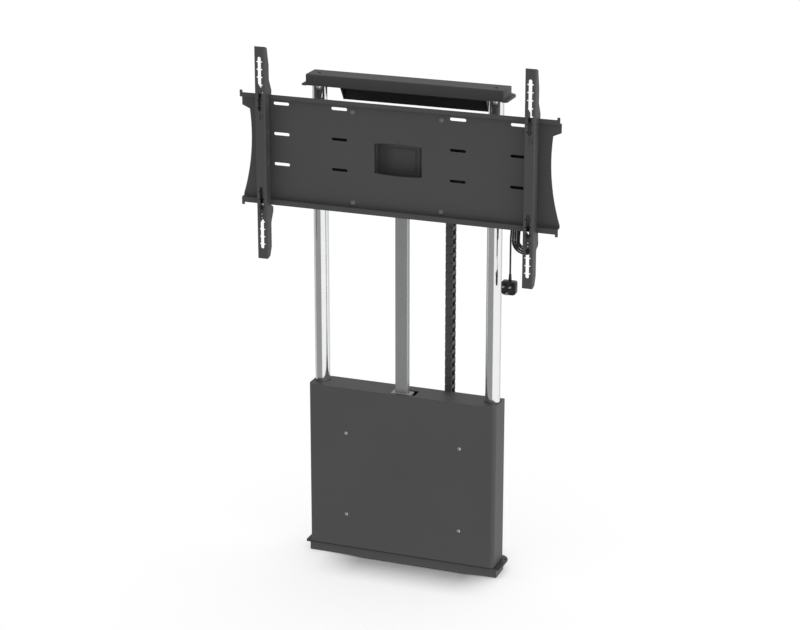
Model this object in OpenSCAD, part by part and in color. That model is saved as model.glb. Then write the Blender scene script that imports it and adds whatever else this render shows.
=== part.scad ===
// Motorised television lift stand: two chromed guide tubes between a base
// channel and a top channel, a covered drive housing at the foot, and a
// carriage that rises on the tubes with a slotted carrier plate and two
// sliding display brackets. Millimetres, +Z up, +Y towards the wall.
// Origin: floor level, midway between the tubes, in the plane of their axes.

/* [Frame] */
// Height of the whole frame, floor to the top channel's upper face
frame_h = 1652; // [1640:2:1700]
// Distance between the axes of the two guide tubes
tube_spacing = 598; // [590:2:620]
// Outer diameter of a guide tube
tube_d = 50; // [44:1:50]
// Wall of a guide tube
tube_wall = 2.5; // [2:0.5:4]
// Depth of the base and top channels, front to back
channel_d = 80; // [76:1:90]
// Height of the base and top channels
channel_h = 36; // [34:1:40]
// Sheet thickness of the two channels
channel_t = 3; // [2:0.5:4]
// How far the base channel's middle lies in front of the tube axes
channel_shift = 5; // [2:1:6]
// Thickness of the fixing lug on a channel end
lug_t = 5; // [4:1:10]
// Radius of the ring on a fixing lug
lug_r = 9.5; // [8:0.5:12]
// Diameter of the hole in that ring
lug_hole_d = 7; // [5:0.5:8]
// How far the hole stands out from the channel's end
lug_out = 5; // [5:0.5:8]
// How far the hole lies from the channel's middle, front or back
lug_side = 40; // [30:1:44]

/* [Housing] */
// Height of the housing's top face above the floor
cover_top = 608; // [600:2:620]
// How far the cover stands out in front of the base channel
cover_lead = 12; // [10:1:16]
// Sheet thickness of the cover
cover_t = 1.5; // [1:0.5:2]
// Outer radius of the cover's two front corners
cover_r = 15; // [10:1:20]
// Gap between a guide tube and its hole in the cover
tube_hole_gap = 1.8; // [1:0.2:2]
// Distance between the left and the right cover screws
screw_spacing = 400; // [380:5:420]
// Height of the lower cover screws
screw_z_low = 157; // [120:1:200]
// Height of the upper cover screws
screw_z_high = 449; // [400:1:500]

/* [Lift column] */
// Sideways offset of the lift column's axis
lift_x = -5; // [-8:1:0]
// Width of the lift profile
column_w = 43; // [36:1:46]
// Depth of the lift profile
column_d = 22; // [18:1:24]
// Wall of the lift profile
column_wall = 2.5; // [2:0.5:3]
// Full travel of the carriage
stroke = 500; // [400:10:500]
// Width of the fixed outer profile
outer_w = 70; // [66:1:74]
// Depth of the fixed outer profile
outer_d = 35; // [34:1:37]

/* [Carrier plate] */
// Width of the carrier plate over its rails
plate_w = 1074; // [1040:2:1100]
// Height of the carrier plate over its rails
plate_h = 365; // [355:1:375]
// Distance from the frame's top down to the carrier plate's lower edge
plate_drop = 426.7; // [420:0.1:440]
// Sheet thickness of the carrier plate
plate_t = 2.5; // [2:0.5:3]
// How far the rails stand out in front of the plate's face
rail_d = 18; // [15:1:20]
// Height of the upper rail's lip
lip_top_h = 15.6; // [12:0.1:18]
// Height of the lower rail's lip
lip_low_h = 18.2; // [14:0.1:20]
// Extra height of the stop tabs at the rails' ends
stop_h = 8; // [4:1:10]
// Width of a stop tab
stop_w = 9; // [6:1:12]
// Length of a fixing slot in the plate
slot_l = 54; // [40:1:60]
// Width of a fixing slot in the plate
slot_w = 10; // [8:0.5:12]
// Distance between neighbouring slot rows and half that between columns
slot_grid = 100; // [96:1:104]
// Width of the cable window
window_w = 161; // [120:1:170]
// Height of the cable window at its corners
window_h = 97; // [80:1:104]
// Radius of the scalloped ends of the plate
scallop_r = 672; // [600:1:800]

/* [Display brackets] */
// Length of a display bracket
bracket_l = 701; // [680:1:720]
// Width of a display bracket
bracket_w = 35; // [33:1:42]
// Sheet thickness of a display bracket
bracket_t = 2.5; // [2:0.5:3]
// Distance between the middle planes of the two brackets
bracket_spacing = 902; // [860:2:920]
// Depth of a bracket's flange between its claws
flange_d = 35; // [32:1:40]
// Width of a bracket's long slot
bracket_slot_w = 11.5; // [9:0.5:13]
// Distance between two cross notches along a bracket slot
notch_pitch = 25; // [20:0.5:28]

/* [Energy chain] */
// Pitch of the chain's links
link_pitch = 30.2; // [29:0.1:31]
// Height of a link, across the bend
link_h = 23; // [20:1:25]
// Width of a link, along its pins
link_w = 40; // [36:1:41]
// Sideways place of the chain's moving run
chain_x = 130.5; // [120:0.5:150]

/* [Mains lead] */
// Diameter of the mains lead
lead_d = 6; // [5:0.1:6]
// Radius of the hank's outermost fold
hank_r = 39.2; // [38:0.1:42]
// Spacing of neighbouring strands in a layer of the hank
hank_pitch = 7.4; // [7.2:0.1:7.6]
// Spacing of the two layers of the hank
hank_layer = 7.4; // [7.2:0.1:8]
// How far the hank is drawn in at its waist, on each side
hank_waist = 13.8; // [8:0.1:14]
// Width of the plug's body
plug_w = 48; // [44:1:52]
// Height of the plug's body
plug_h = 48; // [44:1:52]
// Depth of the plug's body
plug_d = 21; // [18:1:24]

/* [Hidden] */
$fn = 64;
eps = 0.01;

// Frame
tube_x = tube_spacing / 2;
tube_r = tube_d / 2;
end_cap_t = 3;
channel_w = tube_spacing + tube_d + 18;
base_y0 = -channel_d / 2 - channel_shift;
base_y1 = channel_d / 2 - channel_shift;
bend_r = 1.5;
part_gap = 0.3;
tube_z0 = channel_t;
tube_z1 = frame_h - channel_t;
plug_bore_d = 10;
tube_plug_l = 30;
lug_hole_x = channel_w / 2 + lug_out;
lug_heel_r = 8;
lug_heel_in = 3;
lug_heel_side = 30;
top_back_y = -base_y0;
screw_head_r = 7;

// Wall bracket
wall_y = 82;
wall_t = 3;
wall_w = 498;
wall_low_z = frame_h - 100;
wall_leg_z = frame_h - channel_h + 2;
wall_hole_x = 180;
wall_hole_z = wall_leg_z - 12;
wall_hole_d = 8;
wall_flange = 18;
wall_screw_z = wall_leg_z + 8;
wall_screw_d = 6;

// Housing
cover_y0 = base_y0 - cover_lead;
cover_y1 = base_y1 + 3;
cover_w = tube_spacing + tube_d + 8;
cover_in = cover_w / 2 - cover_t;
cover_inner_front = cover_y0 + cover_t;
cover_under = cover_top - cover_t;
screw_mid_x = 5;
screw_xs = [screw_mid_x - screw_spacing / 2, screw_mid_x + screw_spacing / 2];
screw_zs = [screw_z_low, screw_z_high];
rail_w = 30;
rail_depth = 20;
rail_t = 2;
rail_y0 = base_y0 + channel_t;
screw_bore_d = 5.2;
sheet_foot_z = bend_r + channel_t;
panel_t = 1.5;
panel_y0 = base_y1;
panel_y1 = panel_y0 + panel_t;
panel_w = 2 * cover_in - 1;
panel_screw_xs = [-250, -90, 90, 250];
panel_screw_z = channel_h - 16;
panel_hole_d = 4.4;
box_z0 = 110;
box_l = 160;
box_d = 36;
rib_pitch = 16;
rib_w = 4;

// Lift column, in plan
column_y = -27;
column_y0 = column_y - column_d / 2;
column_y1 = column_y + column_d / 2;
outer_y0 = column_y - outer_d / 2 + 1;
outer_y1 = outer_y0 + outer_d;
outer_x0 = lift_x - outer_w / 2;
outer_x1 = lift_x + outer_w / 2;
outer_wall = 2.5;
guide_t = 4;
open_x0 = outer_x0 - 1;
open_x1 = outer_x1 + 14;
open_y0 = outer_y0 - 0.5;
open_y1 = outer_y1 + 8.5;
outer_top = cover_top - guide_t;
column_z0 = channel_h + 4 + stroke;
motor_x = outer_x1 + 75;
motor_y = -6;
motor_d = 58;
motor_l = 170;
gear_x0 = outer_x0 - 12;
gear_x1 = motor_x + motor_d / 2 + 14;

// Carrier plate
face_y = -80;
face_back = face_y + plate_t;
lip_y = face_y - rail_d;
plate_z = frame_h - plate_drop;
plate_top = plate_z + plate_h;
ledge_top_z = plate_top - lip_top_h;
ledge_low_z = plate_z + lip_low_h;
sheet_bend = 2;
slot_mid_up = 233.7;
slot_mid_z = plate_z + slot_mid_up;
slot_rows = [slot_mid_z - slot_grid, slot_mid_z, slot_mid_z + slot_grid];
slot_cols = [-4 * slot_grid, -2 * slot_grid, 2 * slot_grid, 4 * slot_grid];
window_z = slot_mid_z - slot_grid / 2;
window_bow = 4;
scallop_in = 31.4;
scallop_z = slot_mid_z - 6;
ear_h = 44;
ear_low_z = plate_top - ear_h;
ear_step = 26;
bolt_grid = 300;
bolt_mid_up = 178.7;
bolt_mid_z = plate_z + bolt_mid_up;
bolt_hole_d = 8.4;
bolt_xs = [lift_x - bolt_grid / 2, lift_x + bolt_grid / 2];
bolt_zs = [bolt_mid_z - bolt_grid / 2, bolt_mid_z + bolt_grid / 2];

// Carriage
spine_t = 3;
spine_flat = 176;
spine_r = 8;
spine_web_y = -15;
spine_in = 15;
spine_z0 = plate_z + spine_in;
spine_z1 = plate_top - spine_in - 7;
brim_r = 2;
brim_w = bolt_grid + 36;
doubler_t = 2;
doubler_w = 112;
doubler_h = 98;
doubler_z = window_z - doubler_h / 2 - 13;
doubler_step = 13.5;
beam_y0 = spine_web_y + spine_t;
beam_d = 30;
beam_h = 50;
beam_wall = 2.5;
beam_low_up = 80;
beam_high_up = 183;
beam_low_z = plate_z + beam_low_up;
beam_high_z = plate_z + beam_high_up;
block_w = 76;
block_reach = 16;
block_z0 = beam_low_z - block_reach;
block_z1 = beam_high_z + beam_h + block_reach;
block_bore_gap = 2.5;
bush_wall = 5;
bush_l = 42;
bush_gap = 0.1;
head_t = 10;
column_z1 = beam_low_z + 17;
head_w = 80;

// Display brackets
bracket_x = bracket_spacing / 2;
hook_gap = 0.3;
web_y = lip_y - flange_d;
bracket_drop = 6.6;
bracket_z0 = plate_z + plate_h / 2 - bracket_l / 2 - bracket_drop;
bracket_z1 = bracket_z0 + bracket_l;
flange_end = 22.5;
lip_high_d = 8;
lip_low_d = 16;
claw_y = face_y - 0.5;
slot_in = 33;
high_slot = [plate_top - 49, bracket_z1 - slot_in];
low_slot = [bracket_z0 + slot_in + 1, plate_z + 66];
notch_w = 21.5;
notch_h = 5;
lock_w = 18;
lock_t = 3;
lock_z = plate_z - 4;
lock_foot_z = plate_z - 43;
lock_arm_z = plate_z - 19;
lock_bore_d = 6.2;
pin_zs = [plate_z - 25.5, plate_z - 36.5];
pin_bore_d = 4.4;

// Energy chain
chain_y0 = panel_y1 + 2.5;
chain_mid_y = chain_y0 + link_w / 2;
chain_top_z = beam_low_z - 5;
run_links = 24;
tail_down_links = 7;
bend_links = 6;
tail_up_links = 7;
chain_bend_r = link_pitch / (2 * sin(90 / bend_links));
bend_z = chain_top_z - (run_links + tail_down_links) * link_pitch;
anchor_x = chain_x - 2 * chain_bend_r;
anchor_z = bend_z + tail_up_links * link_pitch;
shelf_t = 3;
side_t = 3;
link_gap = 0.3;
link_step = link_pitch / 2 - link_h / 2 - link_gap;

// Mains lead: route of the free stretches, chosen by hand
hank_x = tube_x + 115.4;
hank_mid_z = plate_z + 96.2;
hank_half = 145.5;
hank_front_y = -54.6;
hank_back_y = hank_front_y + hank_layer;
hank_turns = 7;
side_rings = 5;
fold_rings = 7;
loop_rings = 2 * side_rings + 2 * fold_rings;
grommet_t = 3;
lead_x = 235;
lead_z = beam_high_z + beam_h / 2;
grommet_d = 16;
feed_start = [lead_x, beam_y0 - grommet_t, lead_z];
hank_start = [hank_x - hank_r, hank_front_y, hank_mid_z + hank_half];
hank_end = [hank_x - hank_r - hank_pitch, hank_back_y, hank_mid_z - hank_half];
feed_route = [
    feed_start, [235, -24, 1433], [240, -38, 1436], [254, -49, 1444], [276, -54, 1457], [302, -54.6, 1473],
    [330, -54.6, 1487], [352, -54.6, 1491], [368, -54.6, 1484], [375, -54.6, 1473], hank_start
];
relief_l = 22;
relief_top_z = plate_z - 161.3;
drop_end = [hank_end[0], hank_back_y, relief_top_z];
plug_top_z = relief_top_z - relief_l;
plug_x = hank_end[0] - 2;
plug_front_y = hank_back_y - 11;
pin_z = plug_top_z - 13;
hanger_t = 2.5;
hanger_y0 = -block_w / 2 - hanger_t;
hanger_x0 = tube_x - 9;
hanger_x1 = hank_x + hank_r + 5;
hanger_z0 = block_z0;
hanger_z1 = block_z1;
hanger_screw_in = 30;
hanger_screw_zs = [block_z0 + hanger_screw_in, block_z1 - hanger_screw_in];
hanger_screw_d = 4.8;
tie_t = 1.6;
tie_h = 5;
tie_gap = 0.7;
tie_x0 = hank_x - 36.4;
tie_x1 = hank_x + 32.6;
tie_y0 = hank_front_y - lead_d / 2 - 0.8;
tie_y1 = -block_w / 2 + 0.3;

// Box between two opposite corners
module box(a, b) {
    translate(a) cube(b - a);
}

// Flat shape in X and Z, extruded along +Y from y
module upright(y, t) {
    translate([0, y + t, 0]) rotate([90, 0, 0]) linear_extrude(t) children();
}

// Flat shape in Y and Z, extruded along +X from x
module sideways(x, l) {
    translate([x, 0, 0]) rotate([90, 0, 90]) linear_extrude(l) children();
}

// Round rod along Y between two depths
module rod_y(x, z, d, y0, y1) {
    translate([x, y0, z]) rotate([-90, 0, 0]) cylinder(d = d, h = y1 - y0);
}

// Flat rectangle with round corners, from a corner
module round_rect(w, h, r) {
    translate([r, 0]) square([w - 2 * r, h]);
    translate([0, r]) square([w, h - 2 * r]);
    for (x = [r, w - r], y = [r, h - r]) translate([x, y]) circle(r);
}

// Flat slot with round ends, centred, running along X
module slot(l, w) {
    square([l - w, w], center = true);
    for (s = [-1, 1]) translate([s * (l - w) / 2, 0]) circle(d = w);
}

// Quarter of a bent sheet's section: centre, inner radius, thickness and the quarter's signs
module bend(c, r, t, sx, sy) {
    translate(c) intersection() {
        difference() {
            circle(r + t);
            circle(r);
        }
        translate([sx < 0 ? -r - t - 1 : 0, sy < 0 ? -r - t - 1 : 0]) square(r + t + 1);
    }
}

// Section of a channel with its two lower corners bent, in Y and Z
module channel_outline(y0, y1, h, r) {
    translate([y0, r]) square([y1 - y0, h - r]);
    translate([y0 + r, 0]) square([y1 - y0 - 2 * r, r + eps]);
    for (y = [y0 + r, y1 - r]) translate([y, r]) circle(r);
}

module channel_section() {
    difference() {
        channel_outline(base_y0, base_y1, channel_h, bend_r + channel_t);
        translate([0, channel_t])
            channel_outline(base_y0 + channel_t, base_y1 - channel_t, channel_h, bend_r);
    }
}

// Base or top channel with its two tube screw holes, lying on the floor
module channel(hole_d) {
    l = channel_w - 2 * end_cap_t;
    difference() {
        sideways(-l / 2, l) channel_section();
        for (s = [-1, 1]) translate([s * tube_x, 0, -1]) cylinder(d = hole_d, h = channel_t + 2);
    }
}

// Moulded cap that closes a channel's right end, with its fixing lug. The
// lug's ring lies at the back where side is 1, and at the front where it is -1
module channel_cap(side) {
    in = part_gap + channel_t;
    difference() {
        union() {
            sideways(channel_w / 2 - end_cap_t, end_cap_t)
                channel_outline(base_y0, base_y1, channel_h, bend_r + channel_t);
            sideways(channel_w / 2 - end_cap_t - 4, 4 + eps) difference() {
                translate([0, in]) channel_outline(base_y0 + in, base_y1 - in, channel_h - in - part_gap, 2);
                translate([base_y0 + in + 3, in + 3]) square([channel_d - 2 * in - 6, channel_h]);
            }
            intersection() {
                translate([0, -channel_shift, channel_h - lug_t]) linear_extrude(lug_t) hull() {
                    translate([lug_hole_x, side * lug_side]) circle(lug_r);
                    translate([lug_hole_x - lug_heel_in, -side * lug_heel_side]) circle(lug_heel_r);
                }
                box([channel_w / 2 - eps, -channel_w, 0], [channel_w, channel_w, channel_h]);
            }
        }
        translate([lug_hole_x, side * lug_side - channel_shift, 0]) cylinder(d = lug_hole_d, h = channel_h + 1);
    }
}

// Turns a piece of the base into its twin at the top of the frame
module at_top() {
    translate([0, 0, frame_h]) rotate([180, 0, 0]) children();
}

module base_channel() {
    color([0.24, 0.24, 0.25]) difference() {
        channel(plug_bore_d + 0.5);
        for (x = panel_screw_xs) rod_y(x, panel_screw_z, panel_hole_d, panel_y0 - 10, panel_y0 + 1);
        for (s = [-1, 1]) translate([s * tube_x, 0, -eps])
            cylinder(d1 = 18.4, d2 = plug_bore_d, h = channel_t + 0.1);
    }
}

module base_cap_right() {
    color([0.27, 0.27, 0.28]) channel_cap(1);
}

module base_cap_left() {
    color([0.27, 0.27, 0.28]) mirror([1, 0, 0]) channel_cap(-1);
}

// Countersunk screws that pull the tubes onto the base from below
module base_screws() {
    color([0.6, 0.6, 0.62]) for (s = [-1, 1]) translate([s * tube_x, 0, 0]) difference() {
        union() {
            translate([0, 0, 0.3]) cylinder(d1 = 17.2, d2 = 10, h = 2.7);
            translate([0, 0, 2.9]) cylinder(d = plug_bore_d - 0.2, h = 26);
        }
        translate([0, 0, -1]) cylinder(d = 6, h = 3, $fn = 6);
    }
}

module guide_tube(s) {
    translate([s * tube_x, 0, tube_z0]) difference() {
        cylinder(r = tube_r, h = tube_z1 - tube_z0, $fn = 96);
        translate([0, 0, -1]) cylinder(r = tube_r - tube_wall, h = tube_z1 - tube_z0 + 2, $fn = 96);
    }
}

module guide_tube_left() {
    color([0.75, 0.76, 0.77]) guide_tube(-1);
}

module guide_tube_right() {
    color([0.75, 0.76, 0.77]) guide_tube(1);
}

// Turned plugs pressed into the tubes' ends, bored for the end screws
module tube_plugs() {
    color([0.5, 0.5, 0.52]) for (s = [-1, 1], z = [tube_z0, tube_z1 - tube_plug_l])
        translate([s * tube_x, 0, z]) difference() {
            cylinder(r = tube_r - tube_wall, h = tube_plug_l, $fn = 96);
            translate([0, 0, -1]) cylinder(d = plug_bore_d, h = tube_plug_l + 2);
        }
}

module top_channel() {
    color([0.24, 0.24, 0.25]) at_top() channel(plug_bore_d + 0.5);
}

module top_cap_left() {
    color([0.27, 0.27, 0.28]) at_top() mirror([1, 0, 0]) channel_cap(1);
}

module top_cap_right() {
    color([0.27, 0.27, 0.28]) at_top() channel_cap(-1);
}

// Button-head screws through the top channel into the tube plugs
module top_screws() {
    color([0.2, 0.2, 0.2]) for (s = [-1, 1]) translate([s * tube_x, 0, frame_h]) {
        translate([0, 0, -26]) cylinder(d = plug_bore_d - 0.2, h = 26 + eps);
        difference() {
            rotate_extrude() intersection() {
                translate([0, -12]) circle(14, $fn = 96);
                square([screw_head_r, 2]);
            }
            translate([0, 0, 0.8]) cylinder(d = 6, h = 3, $fn = 6);
        }
    }
}

// Folded bracket that stands the frame's head off the wall
module wall_bracket() {
    back = top_back_y;
    color([0.1, 0.1, 0.1]) difference() {
        union() {
            sideways(-wall_w / 2, wall_w) {
                translate([wall_y - wall_t, wall_low_z]) square([wall_t, wall_leg_z - wall_low_z]);
                translate([back, wall_leg_z - wall_t]) square([wall_y - back, wall_t]);
                translate([back, wall_leg_z - wall_t]) square([wall_t, wall_flange]);
            }
            for (x = [-wall_w / 2, wall_w / 2 - wall_t]) sideways(x, wall_t) polygon([
                [back, wall_leg_z], [back, wall_leg_z - 14], [back + 6, wall_leg_z - 26],
                [wall_y - 5, wall_low_z], [wall_y, wall_low_z], [wall_y, wall_leg_z]
            ]);
        }
        for (s = [-1, 1]) rod_y(s * wall_hole_x, wall_hole_z, wall_hole_d, wall_y - 10, wall_y + 5);
        for (s = [-1, 1]) rod_y(s * wall_hole_x, wall_screw_z, wall_screw_d + 0.5, back - 1, back + 10);
    }
}

module wall_bracket_screws() {
    color([0.2, 0.2, 0.2]) for (s = [-1, 1]) {
        rod_y(s * wall_hole_x, wall_screw_z, 2 * wall_screw_d, top_back_y + wall_t, top_back_y + wall_t + 4);
        rod_y(s * wall_hole_x, wall_screw_z, wall_screw_d, top_back_y + 0.2, top_back_y + wall_t + 1);
    }
}

// Plan outline of the cover, drawn in by the given amount
module cover_outline(in) {
    r = cover_r - in;
    w = cover_w - 2 * in;
    y0 = cover_y0 + in;
    translate([-w / 2, y0 + r]) square([w, cover_y1 - y0 - r]);
    translate([-w / 2 + r, y0]) square([w - 2 * r, r + eps]);
    for (s = [-1, 1]) translate([s * (w / 2 - r), y0 + r]) circle(r);
}

// One folded sheet: front, rounded corners, two sides and the top face
module front_cover() {
    color([0.3, 0.3, 0.31]) difference() {
        translate([0, 0, channel_h]) linear_extrude(cover_under - channel_h) difference() {
            cover_outline(0);
            cover_outline(cover_t);
            translate([-cover_in, 0]) square([2 * cover_in, cover_y1 + 1]);
        }
        for (x = screw_xs, z = screw_zs) rod_y(x, z, 6, cover_y0 - 1, cover_y0 + 5);
    }
}

// Flat lid welded onto the cover's upper edge, cut out for the tubes and the column
module cover_lid() {
    color([0.3, 0.3, 0.31]) translate([0, 0, cover_under]) linear_extrude(cover_t) difference() {
        cover_outline(0);
        for (s = [-1, 1]) translate([s * tube_x, 0]) circle(tube_r + tube_hole_gap);
        translate([open_x0, open_y0]) round_rect(open_x1 - open_x0, open_y1 - open_y0, 1.5);
    }
}

module cover_screws() {
    color([0.7, 0.7, 0.7]) for (x = screw_xs, z = screw_zs) translate([x, cover_y0, z])
        rotate([90, 0, 0]) difference() {
            union() {
                rotate_extrude() intersection() {
                    translate([0, -9.2]) circle(12, $fn = 96);
                    square([6, 2.8]);
                }
                translate([0, 0, -14]) cylinder(d = screw_bore_d - 0.2, h = 14 + eps);
            }
            translate([0, 0, 1.4]) cylinder(d = 4, h = 4, $fn = 6);
        }
}

// Upright C-rail inside the cover
module cover_rail(x) {
    translate([x - rail_w / 2, 0, sheet_foot_z]) linear_extrude(cover_under - sheet_foot_z) difference() {
        translate([0, rail_y0]) square([rail_w, rail_depth]);
        translate([rail_t, rail_y0 + rail_t]) square([rail_w - 2 * rail_t, rail_depth]);
    }
}

module cover_rail_left() {
    color([0.6, 0.6, 0.6]) difference() {
        cover_rail(screw_xs[0]);
        for (z = screw_zs) rod_y(screw_xs[0], z, screw_bore_d, rail_y0 - 1, rail_y0 + 5);
    }
}

module cover_rail_right() {
    color([0.6, 0.6, 0.6]) difference() {
        cover_rail(screw_xs[1]);
        for (z = screw_zs) rod_y(screw_xs[1], z, screw_bore_d, rail_y0 - 1, rail_y0 + 5);
    }
}

// Threaded spacers between the rails and the cover
module cover_standoffs() {
    color([0.7, 0.68, 0.6]) for (x = screw_xs, z = screw_zs) difference() {
        rod_y(x, z, 12, cover_inner_front, rail_y0);
        rod_y(x, z, screw_bore_d, cover_inner_front - 1, rail_y0 + 1);
    }
}

module back_panel() {
    color([0.3, 0.3, 0.31]) difference() {
        box([-panel_w / 2, panel_y0, sheet_foot_z], [panel_w / 2, panel_y1, cover_under]);
        for (x = panel_screw_xs) rod_y(x, panel_screw_z, panel_hole_d, panel_y0 - 1, panel_y1 + 1);
    }
}

module panel_screws() {
    color([0.6, 0.6, 0.6]) for (x = panel_screw_xs) {
        rod_y(x, panel_screw_z, 8, panel_y1, panel_y1 + 2.2);
        rod_y(x, panel_screw_z, panel_hole_d - 0.2, panel_y0 - channel_t - 2, panel_y1 + eps);
    }
}

// Lift controller, a ribbed plastic case on the back panel
module control_box() {
    x0 = screw_xs[0] + rail_w / 2 + 6;
    x1 = outer_x0 - 26;
    color([0.13, 0.13, 0.14]) {
        translate([x0, panel_y0 - box_d, box_z0]) linear_extrude(box_l) round_rect(x1 - x0, box_d, 3);
        for (i = [1 : 6]) translate([x0 + rib_pitch * i - rib_w, panel_y0 - box_d - 2, box_z0 + 20])
            cube([rib_w, 3, box_l - 40]);
    }
}

// Flat gear case in the base channel, under the column and the motor
module gear_case() {
    color([0.16, 0.16, 0.17]) difference() {
        translate([gear_x0, rail_y0 + 2, channel_t]) linear_extrude(channel_h - channel_t)
            round_rect(gear_x1 - gear_x0, channel_d - 2 * channel_t - 4, 8);
        for (x = [gear_x0 + 7, gear_x1 - 7], y = [rail_y0 + 8, base_y1 - channel_t - 8])
            translate([x, y, channel_h - 6]) cylinder(d = 6, h = 7);
    }
}

module drive_motor() {
    color([0.2, 0.2, 0.21]) translate([motor_x, motor_y, channel_h]) {
        cylinder(d = motor_d + 8, h = 8);
        translate([0, 0, 8 - eps]) cylinder(d = motor_d, h = motor_l - 40);
        for (i = [0 : 11]) rotate(i * 30) translate([motor_d / 2 - 1, -1.5, 16]) cube([3, 3, motor_l - 60]);
        translate([0, 0, motor_l - 32 - eps]) cylinder(d = motor_d - 6, h = 26);
        translate([0, 0, motor_l - 6 - 2 * eps]) cylinder(d1 = motor_d - 6, d2 = motor_d - 20, h = 6);
    }
}

// Fixed outer profile of the lift column
module outer_profile() {
    color([0.72, 0.73, 0.74]) translate([outer_x0, outer_y0, channel_h])
        linear_extrude(outer_top - channel_h) difference() {
            round_rect(outer_w, outer_d, 3);
            translate([outer_wall, outer_wall])
                round_rect(outer_w - 2 * outer_wall, outer_d - 2 * outer_wall, 1);
        }
}

// Light-coloured guide that closes the outer profile round the lift profile
module column_guide() {
    g = part_gap + 0.1;
    w = outer_w - 2 * outer_wall - 2 * g;
    d = outer_d - 2 * outer_wall - 2 * g;
    color([0.78, 0.78, 0.78]) difference() {
        union() {
            translate([outer_x0, outer_y0, outer_top]) linear_extrude(guide_t)
                round_rect(outer_w, outer_d, 3);
            translate([outer_x0 + outer_wall + g, outer_y0 + outer_wall + g, outer_top - 40])
                linear_extrude(40 + eps) round_rect(w, d, 1);
        }
        translate([lift_x - column_w / 2 - 0.3, column_y0 - 0.3, outer_top - 50])
            linear_extrude(60) round_rect(column_w + 0.6, column_d + 0.6, 2.3);
    }
}

// One link of the energy chain, centred and running along Z: side plates that
// step inward halfway to lap the next link's, and two crossbars
module chain_link() {
    h = link_h / 2;
    lap_y = link_w / 2 - side_t;
    gap = link_gap / 2;
    for (s = [0, 1]) mirror([0, s, 0]) {
        upright(lap_y + gap, side_t - gap) {
            translate([0, -link_pitch / 2]) circle(h);
            translate([-h, -link_pitch / 2]) square([2 * h, link_pitch / 2 + link_step]);
        }
        upright(lap_y - side_t, side_t - gap) {
            translate([0, link_pitch / 2]) circle(h);
            translate([-h, -link_step]) square([2 * h, link_pitch / 2 + link_step]);
        }
        box([-h, lap_y - side_t, -link_step], [h, lap_y + side_t, link_step]);
    }
    for (x = [-h - 1, h - 2])
        box([x, -lap_y + gap, -link_pitch / 5], [x + 3, lap_y - gap, link_pitch / 5]);
}

// Shelf plates that hold the chain's two ends
module chain_anchor() {
    x0 = anchor_x - link_h / 2;
    color([0.65, 0.65, 0.66]) {
        box([x0, panel_y1, anchor_z], [x0 + link_h, chain_y0 + link_w, anchor_z + shelf_t]);
        box([x0, panel_y1, anchor_z - 12], [x0 + link_h, panel_y1 + 2, anchor_z + shelf_t]);
    }
}

module chain_tail() {
    color([0.15, 0.15, 0.16]) {
        for (i = [0 : tail_down_links - 1])
            translate([chain_x, chain_mid_y, bend_z + (i + 0.5) * link_pitch]) chain_link();
        for (i = [0 : bend_links - 1]) translate([chain_x - chain_bend_r, chain_mid_y, bend_z])
            rotate([0, (i + 0.5) * 180 / bend_links, 0])
                translate([chain_bend_r * cos(90 / bend_links), 0, 0]) chain_link();
        intersection() {
            for (i = [0 : tail_up_links - 1])
                translate([anchor_x, chain_mid_y, bend_z + (i + 0.5) * link_pitch])
                    rotate([0, 180, 0]) chain_link();
            box([anchor_x - link_h, chain_y0 - 1, bend_z - link_h],
                [anchor_x + link_h, chain_y0 + link_w + 1, anchor_z]);
        }
    }
}

// Section of the carrier plate in Y and Z: face, two ledges and two lips
module plate_section() {
    r = sheet_bend;
    t = plate_t;
    translate([face_y, ledge_low_z + r]) square([t, ledge_top_z - ledge_low_z - 2 * r]);
    bend([face_y - r, ledge_top_z - r], r, t, 1, 1);
    bend([face_y - r, ledge_low_z + r], r, t, 1, -1);
    translate([lip_y + r + t, ledge_top_z]) square([rail_d - 2 * r - t, t]);
    translate([lip_y + r + t, ledge_low_z - t]) square([rail_d - 2 * r - t, t]);
    bend([lip_y + r + t, ledge_top_z + r + t], r, t, -1, -1);
    bend([lip_y + r + t, ledge_low_z - r - t], r, t, -1, 1);
    translate([lip_y, ledge_top_z + r + t]) square([t, lip_top_h - r - t]);
    translate([lip_y, plate_z]) square([t, lip_low_h - r - t]);
}

// Piece cut from an end of the plate: an arc that narrows it below the ear
module scallop() {
    intersection() {
        translate([plate_w / 2 - scallop_in + scallop_r, scallop_z]) circle(scallop_r, $fn = 360);
        polygon([
            [plate_w / 2 - 60, ledge_low_z + 8], [plate_w / 2 + 20, ledge_low_z + 8],
            [plate_w / 2 + 20, ear_low_z + 8], [plate_w / 2 - ear_step, ear_low_z - 12],
            [plate_w / 2 - 60, ear_low_z - 16]
        ]);
    }
}

// Cable window with gently bowed upper and lower edges
module window() {
    r = (window_w * window_w / 4 + window_bow * window_bow) / (2 * window_bow);
    intersection() {
        translate([-window_w / 2, window_z - window_h]) square([window_w, 2 * window_h]);
        translate([0, window_z + window_h / 2 + window_bow - r]) circle(r, $fn = 360);
        translate([0, window_z - window_h / 2 - window_bow + r]) circle(r, $fn = 360);
    }
}

module carrier_plate() {
    color([0.28, 0.28, 0.29]) {
        difference() {
            sideways(-plate_w / 2, plate_w) plate_section();
            upright(face_y - 5, 12) {
                scallop();
                mirror([1, 0]) scallop();
                window();
                for (x = slot_cols, z = slot_rows) translate([x, z]) slot(slot_l, slot_w);
                translate([0, window_z + window_h / 2 + 11]) circle(d = 5);
                for (x = bolt_xs, z = bolt_zs) translate([x, z]) circle(d = bolt_hole_d);
            }
        }
        for (s = [-1, 1]) {
            x = s > 0 ? plate_w / 2 - stop_w : -plate_w / 2;
            box([x, lip_y, plate_top - 2], [x + stop_w, lip_y + plate_t, plate_top + stop_h]);
            box([x, lip_y, plate_z - stop_h], [x + stop_w, lip_y + plate_t, plate_z + 2]);
        }
    }
}

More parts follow.
